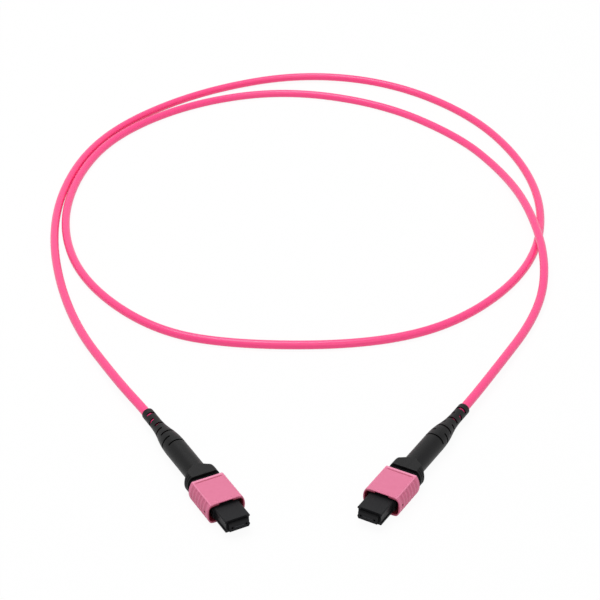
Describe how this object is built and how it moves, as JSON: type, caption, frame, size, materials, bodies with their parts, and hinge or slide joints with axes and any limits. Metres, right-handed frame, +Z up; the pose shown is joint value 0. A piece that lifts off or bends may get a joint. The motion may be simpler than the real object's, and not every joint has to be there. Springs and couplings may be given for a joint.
{
  "type": "fibre optic patch cord",
  "caption": "Round pink fibre optic patch cord in a loose loop, with a rectangular multi-fibre push-pull plug, pull-back sleeve and slotted bend-relief boot on each end.",
  "frame": {"origin": "on the table under the middle of the box round the two plugs, the cord left out", "axes": "+X across from one plug to the other, +Y from the noses back towards the cord's loop, +Z up"},
  "size_m": [0.1826, 0.3018, 0.009],
  "materials": {
    "cord_jacket": "smooth satin jacket, hot pink",
    "sleeve_pink": "fine matte, dusty pink",
    "housing_black": "moulded satin",
    "ferrule_dark": "filled resin with a polished face",
    "keeper_steel": "plain",
    "ferrule_rubber": "soft matte",
    "fibre_coating": "coated fibre",
    "spring_steel": "drawn wire",
    "push_black": "moulded satin",
    "yarn_yellow": "loose strength yarn",
    "ring_metal": "plain crimped",
    "boot_black": "soft matte"
  },
  "bodies": {
    "cable": {"jacket": "cord_jacket", "plug_housing_a": "housing_black", "ferrule_spring_a": "spring_steel", "spring_push_a": "push_black", "sleeve_spring_left_a": "spring_steel", "sleeve_spring_right_a": "spring_steel", "aramid_yarn_a": "yarn_yellow", "crimp_ring_a": "ring_metal", "fibre_bundle_a": "fibre_coating", "boot_a": "boot_black", "plug_housing_b": "housing_black", "ferrule_spring_b": "spring_steel", "spring_push_b": "push_black", "sleeve_spring_left_b": "spring_steel", "sleeve_spring_right_b": "spring_steel", "aramid_yarn_b": "yarn_yellow", "crimp_ring_b": "ring_metal", "fibre_bundle_b": "fibre_coating", "boot_b": "boot_black"},
    "latch_sleeve_a": {"sleeve_a": "sleeve_pink"},
    "ferrule_group_a": {"ferrule_a": "ferrule_dark", "pin_keeper_a": "keeper_steel", "ferrule_boot_a": "ferrule_rubber", "fibre_ribbon_a": "fibre_coating"},
    "latch_sleeve_b": {"sleeve_b": "sleeve_pink"},
    "ferrule_group_b": {"ferrule_b": "ferrule_dark", "pin_keeper_b": "keeper_steel", "ferrule_boot_b": "ferrule_rubber", "fibre_ribbon_b": "fibre_coating"}
  },
  "joints": [
    {"name": "sleeve_pull_a", "type": "slide", "parent": "cable", "child": "latch_sleeve_a", "axis": [-0.4756, 0.8796, 0], "range_m": [0, 0.0018], "stiffness_N_per_m": 600, "deforming": ["sleeve_spring_left_a", "sleeve_spring_right_a"]},
    {"name": "ferrule_float_a", "type": "slide", "parent": "cable", "child": "ferrule_group_a", "axis": [-0.4756, 0.8796, 0], "range_m": [0, 0.0008], "stiffness_N_per_m": 2500, "deforming": ["ferrule_spring_a"]},
    {"name": "sleeve_pull_b", "type": "slide", "parent": "cable", "child": "latch_sleeve_b", "axis": [0.5015, 0.8652, 0], "range_m": [0, 0.0018], "stiffness_N_per_m": 600, "deforming": ["sleeve_spring_left_b", "sleeve_spring_right_b"]},
    {"name": "ferrule_float_b", "type": "slide", "parent": "cable", "child": "ferrule_group_b", "axis": [0.5015, 0.8652, 0], "range_m": [0, 0.0008], "stiffness_N_per_m": 2500, "deforming": ["ferrule_spring_b"]}
  ]
}
